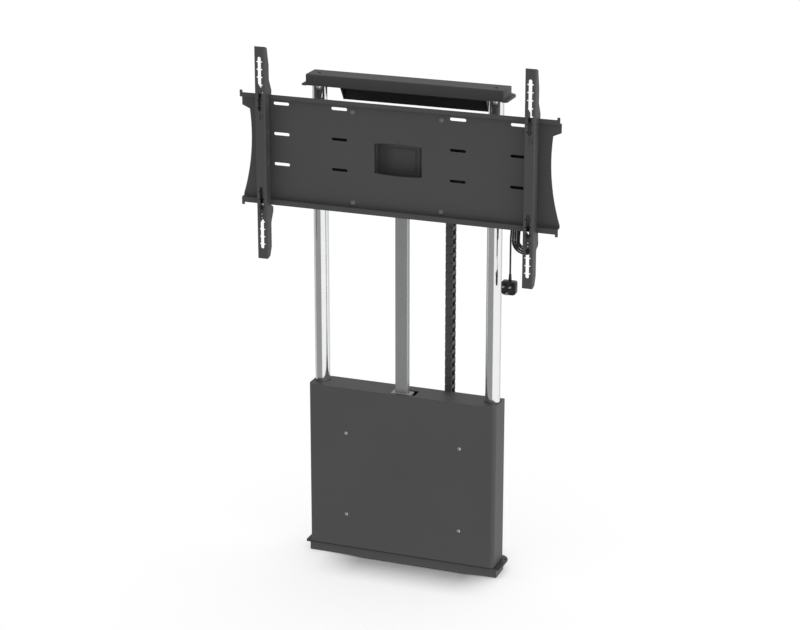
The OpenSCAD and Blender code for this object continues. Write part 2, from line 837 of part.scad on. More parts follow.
// Domed bolts with nuts that join the plate to the carriage
module plate_bolts() {
    color([0.35, 0.35, 0.36]) for (x = bolt_xs, z = bolt_zs) translate([x, face_y, z]) rotate([90, 0, 0]) {
        rotate_extrude() intersection() {
            translate([0, -4.5]) circle(10, $fn = 96);
            square([9, 6]);
        }
        translate([0, 0, -14]) cylinder(d = 8, h = 14 + eps);
        translate([0, 0, -plate_t - spine_t - 6.5]) cylinder(d = 15, h = 6.5, $fn = 6);
    }
}

// Plan section of the carriage spine: a hat profile open towards the plate
module spine_section() {
    t = spine_t;
    r = spine_r;
    f = spine_flat / 2;
    y0 = face_back;
    translate([lift_x - f, spine_web_y]) square([2 * f, t]);
    for (s = [0, 1]) translate([lift_x, 0]) mirror([s, 0]) {
        bend([f, spine_web_y - r], r, t, 1, 1);
        translate([f + r, y0 + t + brim_r]) square([t, spine_web_y - r - y0 - t - brim_r]);
        translate([f + r + t + brim_r, y0 + t + brim_r]) mirror([1, 0]) bend([0, 0], brim_r, t, 1, -1);
        translate([f + r + t + brim_r, y0]) square([brim_w / 2 - f - r - t - brim_r, t]);
    }
}

module carriage_spine() {
    color([0.22, 0.22, 0.23]) difference() {
        translate([0, 0, spine_z0]) linear_extrude(spine_z1 - spine_z0) spine_section();
        for (x = bolt_xs, z = bolt_zs) rod_y(x, z, bolt_hole_d, face_back - 1, face_back + 10);
    }
}

// Stepped doubler plate on the spine's web, seen through the cable window
module spine_doubler() {
    y = spine_web_y - doubler_t;
    color([0.24, 0.24, 0.25]) {
        upright(y, doubler_t) translate([lift_x - doubler_w / 2, doubler_z])
            round_rect(doubler_w, doubler_h, 3);
        upright(y - doubler_t, doubler_t + eps)
            translate([lift_x - doubler_w / 2 + doubler_step, doubler_z + doubler_step])
                round_rect(doubler_w - 2 * doubler_step, doubler_h - 2 * doubler_step, 2);
    }
}

// Box-section beam between the two bearing blocks
module cross_beam(z0) {
    l = tube_spacing - block_w;
    difference() {
        sideways(-l / 2, l) translate([beam_y0, z0]) round_rect(beam_d, beam_h, 4);
        sideways(-l / 2 - 1, l + 2) translate([beam_y0 + beam_wall, z0 + beam_wall])
            round_rect(beam_d - 2 * beam_wall, beam_h - 2 * beam_wall, 1.5);
    }
}

module cross_beam_lower() {
    color([0.2, 0.2, 0.21]) cross_beam(beam_low_z);
}

module cross_beam_upper() {
    color([0.2, 0.2, 0.21]) difference() {
        cross_beam(beam_high_z);
        rod_y(lead_x, lead_z, 12, beam_y0 - 1, beam_y0 + 10);
    }
}

// Bearing block that rides on a guide tube with a bush at each end
module bearing_block(s) {
    h = block_z1 - block_z0;
    bush_r = tube_r + bush_gap + bush_wall;
    translate([s * tube_x, 0, block_z0]) difference() {
        linear_extrude(h) translate([-block_w / 2, -block_w / 2]) round_rect(block_w, block_w, 8);
        translate([0, 0, -1]) cylinder(r = tube_r + block_bore_gap, h = h + 2);
        for (z = [-1, h - bush_l]) translate([0, 0, z]) cylinder(r = bush_r, h = bush_l + 1);
    }
}

module bearing_block_left() {
    color([0.25, 0.25, 0.26]) bearing_block(-1);
}

module bearing_block_right() {
    color([0.25, 0.25, 0.26]) difference() {
        bearing_block(1);
        for (z = hanger_screw_zs)
            rod_y(tube_x, z, hanger_screw_d + 0.2, -block_w / 2 - 1, -block_w / 2 + 7);
    }
}

// Flanged plastic bushes, two in each bearing block
module guide_bushes() {
    r = tube_r + bush_gap;
    color([0.1, 0.1, 0.11]) for (s = [-1, 1], e = [0, 1])
        translate([s * tube_x, 0, e > 0 ? block_z1 + 3 : block_z0 - 3]) mirror([0, 0, e])
            difference() {
                union() {
                    cylinder(r = r + bush_wall + 3, h = 3);
                    cylinder(r = r + bush_wall, h = bush_l + 3);
                }
                translate([0, 0, -1]) cylinder(r = r, h = bush_l + 5);
            }
}

// Hollow lift profile with a fine seam groove down its front
module lift_profile() {
    w = column_w;
    d = column_d;
    k = column_wall;
    color([0.62, 0.63, 0.64]) translate([lift_x - w / 2, column_y0, column_z0])
        linear_extrude(column_z1 - column_z0) difference() {
            round_rect(w, d, 2);
            translate([k, k]) round_rect(w - 2 * k, d - 2 * k, 1);
            translate([w * 0.57, -1]) square([1, 1.6]);
            translate([w - 0.6, d * 0.3]) square([1, d * 0.4]);
        }
}

// Head plate that fixes the lift profile inside the spine
module lift_head() {
    color([0.5, 0.5, 0.52]) {
        box([lift_x - head_w / 2, column_y0 - 5, column_z1],
            [lift_x + head_w / 2, spine_web_y, column_z1 + head_t]);
        for (s = [-1, 1]) translate([lift_x + s * 10, column_y, column_z1 + head_t - eps])
            cylinder(d = 13, h = 4);
    }
}

module chain_shelf() {
    x0 = chain_x - link_h / 2 - 3;
    x1 = chain_x + link_h / 2 + 3;
    y0 = beam_y0 + beam_d;
    color([0.65, 0.65, 0.66]) {
        box([x0, y0, chain_top_z], [x1, chain_y0 + link_w, chain_top_z + shelf_t]);
        box([x0, y0, chain_top_z], [x1, y0 + 3, chain_top_z + 45]);
    }
}

module chain_run() {
    color([0.15, 0.15, 0.16]) intersection() {
        for (i = [0 : run_links - 1])
            translate([chain_x, chain_mid_y, chain_top_z - (i + 0.5) * link_pitch]) chain_link();
        box([chain_x - link_h, chain_y0 - 1, bend_z], [chain_x + link_h, chain_y0 + link_w + 1, chain_top_z]);
    }
}

// Plate beside the right bearing block that the coiled lead is tied to
module lead_hanger() {
    color([0.2, 0.2, 0.21]) difference() {
        upright(hanger_y0, hanger_t) translate([hanger_x0, hanger_z0])
            round_rect(hanger_x1 - hanger_x0, hanger_z1 - hanger_z0, 6);
        for (x = [tie_x0 - tie_t, tie_x1]) 
            translate([x - tie_gap, hanger_y0 - 1, hank_mid_z - tie_h / 2 - tie_gap])
                cube([tie_t + 2 * tie_gap, hanger_t + 2, tie_h + 2 * tie_gap]);
        for (z = hanger_screw_zs) rod_y(tube_x, z, hanger_screw_d + 0.6, hanger_y0 - 1, hanger_y0 + 5);
    }
}

module hanger_screws() {
    color([0.5, 0.5, 0.5]) for (z = hanger_screw_zs) {
        rod_y(tube_x, z, 9, hanger_y0 - 3, hanger_y0);
        rod_y(tube_x, z, hanger_screw_d, hanger_y0 - 1, hanger_y0 + 8);
    }
}

// Rubber grommet where the lead leaves the upper beam
module lead_grommet() {
    color([0.08, 0.08, 0.08]) difference() {
        union() {
            rod_y(lead_x, lead_z, grommet_d, beam_y0 - grommet_t, beam_y0);
            rod_y(lead_x, lead_z, 11.6, beam_y0 - 1, beam_y0 + beam_wall);
        }
        rod_y(lead_x, lead_z, 4, beam_y0 - grommet_t / 2, beam_y0 + beam_wall + 1);
    }
}

// Unit vector, and a ring of points square to a direction
function unit(v) = v / norm(v);
function ring(p, dir, side, r, n) = let (
        a = unit(cross(dir, side)),
        b = unit(cross(a, dir))
    ) [for (k = [0 : n - 1]) p + r * (cos(360 * k / n) * a + sin(360 * k / n) * b)];
function heading(path, i) =
    unit(path[min(i + 1, len(path) - 1)] - path[max(i - 1, 0)]);

// Round tube swept along a path, with n sides
module tube_along(path, r, n, side = [0, 1, 0], dir0 = undef, dir1 = undef) {
    m = len(path);
    dirs = [for (i = [0 : m - 1])
        i == 0 && dir0 != undef ? dir0 : i == m - 1 && dir1 != undef ? dir1 : heading(path, i)];
    points = [for (i = [0 : m - 1]) each ring(path[i], dirs[i], side, r, n)];
    sides = [for (i = [0 : m - 2], k = [0 : n - 1]) let (a = i * n + k, b = i * n + (k + 1) % n)
        each [[a, b, b + n], [a, b + n, a + n]]];
    ends = [for (k = [1 : n - 2]) each [
        [0, k + 1, k], [(m - 1) * n, (m - 1) * n + k, (m - 1) * n + k + 1]]];
    polyhedron(points, concat(sides, ends), convexity = 10);
}

// Smooth curve through the route's points, with k steps in each span
function curve_point(p0, p1, p2, p3, t) = 0.5 * (2 * p1 + (p2 - p0) * t
    + (2 * p0 - 5 * p1 + 4 * p2 - p3) * t * t + (3 * p1 - p0 - 3 * p2 + p3) * t * t * t);
function smooth(route, k) = let (n = len(route)) [
    for (i = [0 : n - 2], j = [0 : k - 1])
        curve_point(route[max(i - 1, 0)], route[i], route[i + 1], route[min(i + 2, n - 1)], j / k),
    route[n - 1]];

module lead_feed() {
    color([0.12, 0.12, 0.12])
        tube_along(smooth(feed_route, 2), lead_d / 2, 8, [0.3, 0.2, 1], [0, -1, 0], [0, 0, -1]);
}

// Hank: the strand spirals in along the front layer, changes layer in half a
// turn and spirals out along the back layer, as s counts the turns
hank_span = hank_turns + side_rings / loop_rings;
hank_depth = (hank_span - 1.5) / 2;
function hank_q(s) = s < hank_depth ? s : s < hank_depth + 0.5 ? hank_depth
    : 2 * hank_depth + 0.5 - s;
function hank_y(s) = hank_front_y
    + hank_layer * min(1, max(0, (s - hank_depth) / 0.5));
function waist(z) = hank_waist * (1 + cos(180 * z / hank_half)) / 2;
function hank_point(s) = let (
        r = hank_r - hank_pitch * hank_q(s),
        step = (s - floor(s)) * loop_rings,
        down = 1 - 2 * step / side_rings,
        up = 2 * (step - side_rings - fold_rings) / side_rings - 1,
        low = 180 + 180 * (step - side_rings) / fold_rings,
        high = 180 * (step - 2 * side_rings - fold_rings) / fold_rings
    ) step < side_rings ? [hank_x - r + waist(down * hank_half), hank_y(s), hank_mid_z + down * hank_half]
    : step < side_rings + fold_rings
        ? [hank_x + r * cos(low), hank_y(s), hank_mid_z - hank_half + r * sin(low)]
    : step < 2 * side_rings + fold_rings
        ? [hank_x + r - waist(up * hank_half), hank_y(s), hank_mid_z + up * hank_half]
    : [hank_x + r * cos(high), hank_y(s), hank_mid_z + hank_half + r * sin(high)];

hank_steps = hank_turns * loop_rings + side_rings;
hank_path = concat(
    [hank_start, hank_start - [0, 0, lead_d]],
    [for (i = [1 : hank_steps - 1]) hank_point(i / loop_rings)],
    [hank_end + [0, 0, lead_d], hank_end]);
function seg_gap(path, i, j) = norm((path[i] + path[i + 1]) / 2 - (path[j] + path[j + 1]) / 2);
hank_gap = min([for (i = [0 : len(hank_path) - 2])
    for (j = [i + 8 : 1 : len(hank_path) - 2]) seg_gap(hank_path, i, j)]) - lead_d;

module lead_hank() {
    echo("least gap of the hank to itself", hank_gap);
    color([0.12, 0.12, 0.12]) tube_along(hank_path, lead_d / 2, 6, [0, 1, 0], [0, 0, -1], [0, 0, -1]);
}

module hank_tie() {
    z = hank_mid_z - tie_h / 2;
    color([0.06, 0.06, 0.06]) {
        translate([0, 0, z]) linear_extrude(tie_h) difference() {
            translate([tie_x0 - tie_t, tie_y0 - tie_t])
                round_rect(tie_x1 - tie_x0 + 2 * tie_t, tie_y1 - tie_y0 + 2 * tie_t, 4);
            translate([tie_x0, tie_y0]) round_rect(tie_x1 - tie_x0, tie_y1 - tie_y0, 2.5);
        }
        box([hank_x - 4, tie_y0 - tie_t - 3, z - 1.5], [hank_x + 4, tie_y0 - tie_t + 0.5, z + tie_h + 1.5]);
    }
}

module lead_drop() {
    n = 8;
    color([0.12, 0.12, 0.12]) tube_along(
        [for (i = [0 : n]) hank_end + (drop_end - hank_end) * i / n], lead_d / 2, 8);
}

// Ribbed tapering strain relief between the lead and the plug
module plug_relief() {
    color([0.1, 0.1, 0.1]) translate([drop_end[0], drop_end[1], plug_top_z]) rotate_extrude() polygon([
        [0, 0], [5.4, 0], [5.2, 3], [4.6, 3], [4.6, 4.2], [5, 4.2], [4.8, 7.4], [4.3, 7.4],
        [4.3, 8.6], [4.6, 8.6], [4.4, 11.8], [4, 11.8], [4, 13], [4.3, 13], [4, 16.4],
        [3.7, 16.4], [3.7, 17.6], [3.8, 17.6], [3.5, relief_l], [0, relief_l]
    ]);
}

// Face outline of the plug: shoulders at the lead and a narrowed foot
module plug_outline(in) {
    w = plug_w / 2 - in;
    h = plug_h / 2 - in;
    polygon([
        [-w * 0.9, h * 0.94], [-w * 0.72, h], [w * 0.72, h], [w * 0.9, h * 0.94], [w, h * 0.7],
        [w, -h * 0.45], [w * 0.93, -h * 0.7], [w * 0.72, -h * 0.95], [w * 0.55, -h],
        [-w * 0.55, -h], [-w * 0.72, -h * 0.95], [-w * 0.93, -h * 0.7], [-w, -h * 0.45], [-w, h * 0.7]
    ]);
}

module plug_body() {
    color([0.1, 0.1, 0.1]) translate([plug_x, plug_front_y, plug_top_z - plug_h / 2]) {
        upright(0, 4) plug_outline(0);
        upright(4 - eps, 1.2 + 2 * eps) plug_outline(1.2);
        upright(5.2, plug_d - 9.2) plug_outline(0);
        upright(plug_d - 4 - eps, 2.5 + eps) plug_outline(1.4);
        upright(plug_d - 1.5 - eps, 1.5 + eps) plug_outline(3.5);
    }
}

// Three flat pins of the plug, facing forward
module plug_pins() {
    pitch = 22.2;
    l = 22.7;
    color([0.8, 0.72, 0.5]) translate([plug_x, plug_front_y - l, pin_z]) {
        for (s = [-1, 1]) translate([s * pitch / 2 - 3.2, 0, -2]) cube([6.4, l, 4]);
        translate([-2, 0, -pitch - 4]) cube([4, l, 8]);
    }
}

// Claw that hooks over the upper rail, standing on a flange d deep, in Y and Z
module high_claw(d) {
    b = lip_y - hook_gap;
    hook_y = lip_y + plate_t + hook_gap;
    hook_z = ledge_top_z + plate_t + 1.5;
    polygon([
        [web_y, plate_z + plate_h / 2], [b, plate_z + plate_h / 2], [b, plate_top + hook_gap],
        [hook_y, plate_top + hook_gap], [hook_y, hook_z], [claw_y, hook_z],
        [claw_y, plate_top + 12], [web_y + max(d, flange_d + 3), plate_top + (d > flange_d - 1 ? 42 : 22)],
        [web_y + d, plate_top + 50], [web_y, plate_top + 50]
    ]);
}

// Claw that reaches under the lower rail
module low_claw(d) {
    b = lip_y - hook_gap;
    polygon([
        [web_y, plate_z - 62], [web_y + d, plate_z - 62], [b + 3, plate_z - 54],
        [claw_y, plate_z - 26], [claw_y, plate_z - 12], [b + 6, plate_z - 3], [b, plate_z - 1.5],
        [b, plate_z + plate_h / 2 + eps], [web_y, plate_z + plate_h / 2 + eps]
    ]);
}

// Side outline of a bracket's flange in Y and Z: both claws, and the plain
// stretches beyond them, high and low, with their depths
module flange_outline(high_d, low_d) {
    end_cut = 5;
    high_claw(high_d);
    low_claw(low_d);
    polygon([
        [web_y, plate_top + 50 - eps], [web_y + high_d, plate_top + 50 - eps], [web_y + high_d, bracket_z1 - 66],
        [web_y + min(high_d, flange_end), bracket_z1 - end_cut - 2],
        [web_y + bracket_t + sheet_bend, bracket_z1], [web_y, bracket_z1]
    ]);
    polygon([
        [web_y, bracket_z0], [web_y + bracket_t + sheet_bend, bracket_z0],
        [web_y + min(low_d, flange_end), bracket_z0 + end_cut], [web_y + low_d, bracket_z0 + 34],
        [web_y + low_d, plate_z - 62 + eps], [web_y, plate_z - 62 + eps]
    ]);
}

// Long slot with cross notches at a regular pitch, in X and Z
module notched_slot(z0, z1, first) {
    translate([0, (z0 + z1) / 2]) rotate(90) slot(z1 - z0, bracket_slot_w);
    for (z = [first : notch_pitch : z1 - 10]) translate([0, z]) polygon([
        [-notch_w / 2, -1], [-notch_w / 2, 1], [-bracket_slot_w / 2 + 0.5, notch_h / 2],
        [bracket_slot_w / 2 - 0.5, notch_h / 2], [notch_w / 2, 1], [notch_w / 2, -1],
        [bracket_slot_w / 2 - 0.5, -notch_h / 2], [-bracket_slot_w / 2 + 0.5, -notch_h / 2]
    ]);
}

// Display bracket: a folded channel with claws and two notched slots
module bracket(x) {
    r = sheet_bend;
    translate([x, 0, 0]) intersection() {
        union() {
            sideways(bracket_w / 2 - bracket_t, bracket_t) flange_outline(flange_d - hook_gap, flange_d - hook_gap);
            sideways(-bracket_w / 2, bracket_t) flange_outline(lip_high_d, lip_low_d);
        }
        box([-bracket_w / 2 - 1, web_y + bracket_t + r, 0], [bracket_w / 2 + 1, 0, bracket_z1 + 1]);
    }
    translate([x, 0, 0]) difference() {
        translate([0, 0, bracket_z0]) linear_extrude(bracket_l) {
            translate([-bracket_w / 2 + r + bracket_t, web_y])
                square([bracket_w - 2 * r - 2 * bracket_t, bracket_t]);
            for (s = [0, 1]) mirror([s, 0]) {
                bend([bracket_w / 2 - r - bracket_t, web_y + r + bracket_t], r, bracket_t, 1, -1);
                translate([bracket_w / 2 - bracket_t, web_y + r + bracket_t - eps])
                    square([bracket_t, 2 * eps]);
            }
        }
        upright(web_y - 1, bracket_t + 1.5) {
            notched_slot(high_slot[0], high_slot[1], high_slot[0] + 11.5);
            notched_slot(low_slot[0], low_slot[1], low_slot[0] + 15.5);
            for (i = [0 : 2]) translate([0, high_slot[0] - 8 - 8.5 * i]) circle(d = 5);
            for (i = [0 : 1]) translate([8, high_slot[0] - 12 - 8.5 * i]) circle(d = 4);
        }
    }
}

module bracket_left() {
    color([0.29, 0.29, 0.3]) bracket(-bracket_x);
}

module bracket_right() {
    color([0.29, 0.29, 0.3]) bracket(bracket_x);
}

// Locking clip inside a bracket: hooks up behind the lower rail's lip
module lock_clip(x) {
    y0 = web_y + bracket_t;
    hook_y = lip_y + plate_t + 2;
    w = lock_w / 2;
    color([0.25, 0.25, 0.26]) translate([x, 0, 0]) difference() {
        union() {
            box([-w, y0, lock_foot_z], [w, y0 + lock_t, lock_z + 5]);
            box([-w, y0, lock_arm_z], [w, hook_y + lock_t, lock_arm_z + lock_t]);
            box([-w, hook_y, lock_arm_z], [w, hook_y + lock_t, plate_z + 8]);
        }
        rod_y(0, lock_z, lock_bore_d, y0 - 1, y0 + lock_t + 1);
        for (z = pin_zs) rod_y(0, z, pin_bore_d, y0 - 1, y0 + lock_t + 1);
    }
}

module lock_clip_left() {
    lock_clip(-bracket_x);
}

module lock_clip_right() {
    lock_clip(bracket_x);
}

// Black cap screw that clamps the clip to the bracket's slot
module lock_screw(x) {
    d = lock_bore_d - 0.2;
    color([0.12, 0.12, 0.12]) {
        translate([x, web_y - 3.5, lock_z]) rotate([-90, 0, 0]) difference() {
            cylinder(d = d + 4, h = 3.5);
            translate([0, 0, -1]) cylinder(d = 5, h = 3, $fn = 6);
        }
        rod_y(x, lock_z, d, web_y - 1, web_y + bracket_t + lock_t + 5);
    }
}

module lock_screw_left() {
    lock_screw(-bracket_x);
}

module lock_screw_right() {
    lock_screw(bracket_x);
}

// Bright set screws in the foot of the clip, seen through the bracket's slot
module clip_pins(x) {
    color([0.8, 0.8, 0.8]) for (z = pin_zs)
        rod_y(x, z, pin_bore_d - 0.2, web_y + 0.8, web_y + bracket_t + lock_t + 2);
}

module clip_pins_left() {
    clip_pins(-bracket_x);
}

module clip_pins_right() {
    clip_pins(bracket_x);
}

base_channel();
base_cap_left();
base_cap_right();
base_screws();
guide_tube_left();
guide_tube_right();
tube_plugs();
top_channel();
top_cap_left();
top_cap_right();
top_screws();
wall_bracket();
wall_bracket_screws();
front_cover();
cover_lid();
cover_screws();
cover_rail_left();
cover_rail_right();
cover_standoffs();
back_panel();
panel_screws();
control_box();
gear_case();
drive_motor();
outer_profile();
column_guide();
chain_anchor();
chain_tail();
carrier_plate();
plate_bolts();
carriage_spine();
spine_doubler();
cross_beam_lower();
cross_beam_upper();
bearing_block_left();
bearing_block_right();
guide_bushes();
lift_profile();
lift_head();
chain_shelf();
chain_run();
lead_hanger();
hanger_screws();
lead_grommet();
lead_feed();
lead_hank();
hank_tie();
lead_drop();
plug_relief();
plug_body();
plug_pins();
bracket_left();
lock_clip_left();
lock_screw_left();
clip_pins_left();
bracket_right();
lock_clip_right();
lock_screw_right();
clip_pins_right();
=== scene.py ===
import math

import bpy
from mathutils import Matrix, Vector


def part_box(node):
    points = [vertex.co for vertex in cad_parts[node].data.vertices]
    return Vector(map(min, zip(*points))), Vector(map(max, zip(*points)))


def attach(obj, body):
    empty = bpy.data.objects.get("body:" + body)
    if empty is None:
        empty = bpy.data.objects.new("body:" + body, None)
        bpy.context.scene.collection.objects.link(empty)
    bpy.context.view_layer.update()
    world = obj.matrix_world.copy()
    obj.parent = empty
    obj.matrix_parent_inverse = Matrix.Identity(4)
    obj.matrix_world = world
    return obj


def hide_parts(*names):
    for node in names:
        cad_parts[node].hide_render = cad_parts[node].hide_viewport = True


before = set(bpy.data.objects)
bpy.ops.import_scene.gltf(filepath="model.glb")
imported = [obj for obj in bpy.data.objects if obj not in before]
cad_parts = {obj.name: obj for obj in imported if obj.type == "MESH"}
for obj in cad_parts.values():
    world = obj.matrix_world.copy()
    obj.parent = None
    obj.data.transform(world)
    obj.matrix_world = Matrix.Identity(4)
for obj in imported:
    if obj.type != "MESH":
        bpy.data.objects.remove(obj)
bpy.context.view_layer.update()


# Camera
# Stands to the right of the stand's front and well above it, and looks down at its middle with a
# long lens, as the photo's camera did.
camera_place = Vector((2.586, -6.867, 3.333))
camera_target = Vector((-0.0238, 0.0, 0.8658))
camera_data = bpy.data.cameras.new("camera")
camera_data.sensor_width = 36.0
camera_data.lens = 106.65
camera_data.clip_end = 60.0
camera = bpy.data.objects.new("camera", camera_data)
bpy.context.scene.collection.objects.link(camera)
camera.location = camera_place
camera.rotation_euler = (camera_target - camera_place).to_track_quat("-Z", "Y").to_euler()
bpy.context.scene.camera = camera


# Mains lead
# A 6 mm black lead leaves the upper cross beam, is folded into a two-layer hank beside the right
# bearing block, and drops straight down to its moulded plug.
lead_diameter = 0.006
feed_start = Vector((0.235, -0.015, 1.4333))
hank_x = 0.4144
hank_middle = 1.3215
hank_half = 0.1455
hank_radius = 0.0392
hank_pitch = 0.0074
hank_front = -0.0546
hank_layer = 0.0074
hank_waist = 0.0138
run_share = 5 / 24
fold_share = 7 / 24
hank_turns = 7
hank_span = hank_turns + run_share
layer_crossing = 0.5
turns_out_past_start = 1.0
hank_depth = (hank_span - layer_crossing - turns_out_past_start) / 2
rings_per_turn = 48
relief_top = 1.064
drop_steps = 8
feed_route = [
    feed_start, (0.235, -0.024, 1.433), (0.240, -0.038, 1.436), (0.254, -0.049, 1.444),
    (0.276, -0.054, 1.457), (0.302, -0.0546, 1.473), (0.330, -0.0546, 1.487),
    (0.352, -0.0546, 1.491), (0.368, -0.0546, 1.484), (0.375, -0.0546, 1.473),
    Vector((hank_x - hank_radius, hank_front, hank_middle + hank_half)),
]


def smooth_route(points, steps):
    """The curve that runs through every point, with a few steps between neighbours."""
    route = []
    for i in range(len(points) - 1):
        p0, p1, p2, p3 = (
            Vector(points[max(min(k, len(points) - 1), 0)]) for k in (i - 1, i, i + 1, i + 2)
        )
        for step in range(steps):
            t = step / steps
            route.append(0.5 * (
                2 * p1 + (p2 - p0) * t + (2 * p0 - 5 * p1 + 4 * p2 - p3) * t * t
                + (3 * p1 - p0 - 3 * p2 + p3) * t * t * t
            ))
    return route + [Vector(points[-1])]


def hank_point(turn):
    """Where the lead lies after so many turns: in by the front layer, out by the back one."""
    crossed = min(1.0, max(0.0, (turn - hank_depth) / layer_crossing))
    if turn < hank_depth:
        inward = turn
    elif crossed < 1.0:
        inward = hank_depth
    else:
        inward = 2 * hank_depth + layer_crossing - turn
    radius = hank_radius - hank_pitch * inward
    y = hank_front + hank_layer * crossed
    share = turn - math.floor(turn)
    if share < run_share:
        side, height = -1, (1 - 2 * share / run_share) * hank_half
    elif share < run_share + fold_share:
        angle = math.pi * (1 + (share - run_share) / fold_share)
        fold_z = hank_middle - hank_half
        return Vector((hank_x + radius * math.cos(angle), y, fold_z + radius * math.sin(angle)))
    elif share < 2 * run_share + fold_share:
        side, height = 1, (2 * (share - run_share - fold_share) / run_share - 1) * hank_half
    else:
        angle = math.pi * (share - 2 * run_share - fold_share) / fold_share
        fold_z = hank_middle + hank_half
        return Vector((hank_x + radius * math.cos(angle), y, fold_z + radius * math.sin(angle)))
    drawn_in = hank_waist * (1 + math.cos(math.pi * height / hank_half)) / 2
    return Vector((hank_x + side * (radius - drawn_in), y, hank_middle + height))


lead_route = smooth_route(feed_route, 4)
lead_route += [hank_point(0) - Vector((0, 0, lead_diameter))]
lead_route += [hank_point(i / rings_per_turn) for i in range(2, round(hank_span * rings_per_turn))]
hank_end = Vector((
    hank_x - hank_radius - hank_pitch, hank_front + hank_layer, hank_middle - hank_half,
))
lead_route += [hank_end + Vector((0, 0, lead_diameter)), hank_end]
drop = relief_top - hank_end.z
lead_route += [hank_end + Vector((0, 0, drop * i / drop_steps)) for i in range(1, drop_steps + 1)]
lead_curve = bpy.data.curves.new("mains_lead", "CURVE")
lead_curve.dimensions = "3D"
lead_curve.bevel_depth = lead_diameter / 2
lead_curve.bevel_resolution = 4
lead_curve.use_fill_caps = True
spline = lead_curve.splines.new("POLY")
spline.points.add(len(lead_route) - 1)
for point, place in zip(spline.points, lead_route):
    point.co = (*place, 1.0)
mains_lead = bpy.data.objects.new("mains_lead", lead_curve)
bpy.context.scene.collection.objects.link(mains_lead)
lead_length = sum((b - a).length for a, b in zip(lead_route, lead_route[1:]))


class Wire:
    """A node's output that adds Math nodes when it is used in a sum."""

    def __init__(self, tree, socket):
        self.tree = tree
        self.socket = socket

    def math(self, operation, *values):
        node = self.tree.nodes.new("ShaderNodeMath")
        node.operation = operation
        for place, value in zip(node.inputs, values):
            if isinstance(value, Wire):
                self.tree.links.new(value.socket, place)
            else:
                place.default_value = value
        return Wire(self.tree, node.outputs[0])

    def __add__(self, other):
        return self.math("ADD", self, other)

    def __radd__(self, other):
        return self.math("ADD", other, self)

    def __sub__(self, other):
        return self.math("SUBTRACT", self, other)

    def __rsub__(self, other):
        return self.math("SUBTRACT", other, self)

    def __mul__(self, other):
        return self.math("MULTIPLY", self, other)

    def __rmul__(self, other):
        return self.math("MULTIPLY", other, self)

    def __gt__(self, other):
        return self.math("GREATER_THAN", self, other)

    def __abs__(self):
        return self.math("ABSOLUTE", self)

    def clamp(self, low=0.0, high=1.0):
        return self.math("MINIMUM", self.math("MAXIMUM", self, low), high)


class Finish:
    """A material: its Principled shader, with the constants given, and the nodes that vary it."""

    def __init__(self, name, colour, **constants):
        self.material = bpy.data.materials.new(name)
        self.material.use_nodes = True
        self.material.diffuse_color = (*colour, 1.0)
        self.tree = self.material.node_tree
        self.shader = self.tree.nodes["Principled BSDF"]
        self.shader.inputs["Base Color"].default_value = (*colour, 1.0)
        for key, value in constants.items():
            self.shader.inputs[key.replace("_", " ")].default_value = value
        self.place = self.tree.nodes.new("ShaderNodeTexCoord").outputs["Object"]

    def node(self, kind, settings=None, inputs=None, output=0):
        node = self.tree.nodes.new(kind)
        for key, value in (settings or {}).items():
            setattr(node, key, value)
        for key, value in (inputs or {}).items():
            if isinstance(value, Wire):
                self.tree.links.new(value.socket, node.inputs[key])
            elif isinstance(value, bpy.types.NodeSocket):
                self.tree.links.new(value, node.inputs[key])
            else:
                node.inputs[key].default_value = value
        return Wire(self.tree, node.outputs[output])

    def along(self, axis):
        """The place along one axis of the object, in metres."""
        return self.node("ShaderNodeSeparateXYZ", inputs={"Vector": self.place}, output=axis)

    def noise(self, size, detail=2.0, stretch=(1.0, 1.0, 1.0)):
        """Noise from 0 to 1, with features of about that size in metres."""
        spread = self.node("ShaderNodeMapping", inputs={"Vector": self.place, "Scale": stretch})
        inputs = {"Vector": spread, "Scale": 0.5 / size, "Detail": detail}
        return self.node("ShaderNodeTexNoise", inputs=inputs)

    def vary_colour(self, share, dark, light):
        colours = {0: share, 6: (*dark, 1.0), 7: (*light, 1.0)}
        mixed = self.node("ShaderNodeMix", {"data_type": "RGBA"}, colours, 2)
        self.tree.links.new(mixed.socket, self.shader.inputs["Base Color"])

    def vary(self, name, wire):
        self.tree.links.new(wire.socket, self.shader.inputs[name])

    def bump(self, height, depth):
        inputs = {"Height": height, "Distance": depth, "Strength": 1.0}
        bumped = self.node("ShaderNodeBump", inputs=inputs)
        self.tree.links.new(bumped.socket, self.shader.inputs["Normal"])


def shade(colour, factor):
    """A colour made lighter or darker by a factor."""
    return tuple(channel * factor for channel in colour)


def moulded(name, colour, roughness, grain=0.0004):
    """Injection-moulded plastic or PVC: a fine sparked grain, a little uneven in gloss."""
    finish = Finish(name, colour, Specular_IOR_Level=0.45)
    fine = finish.noise(grain)
    cloud = finish.noise(0.02, 3.0)
    finish.vary_colour(cloud, shade(colour, 0.85), shade(colour, 1.15))
    finish.vary("Roughness", (roughness - 0.06) + cloud * 0.08 + fine * 0.04)
    finish.bump(fine, grain * 0.12)
    return finish.material


def set_finish(material, *names):
    """Gives CAD nodes or new pieces one finish all over."""
    for name in names:
        piece = bpy.data.objects[name]
        piece.data.materials.clear()
        piece.data.materials.append(material)


lead_rubber = moulded("lead_rubber", (0.018, 0.018, 0.018), 0.42)
mains_lead.data.materials.append(lead_rubber)
set_finish(lead_rubber, "lead_grommet")
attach(mains_lead, "carriage")
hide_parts("lead_feed", "lead_hank", "lead_drop")
tie_plastic = moulded("tie_plastic", (0.012, 0.012, 0.012), 0.38)
set_finish(tie_plastic, "hank_tie")


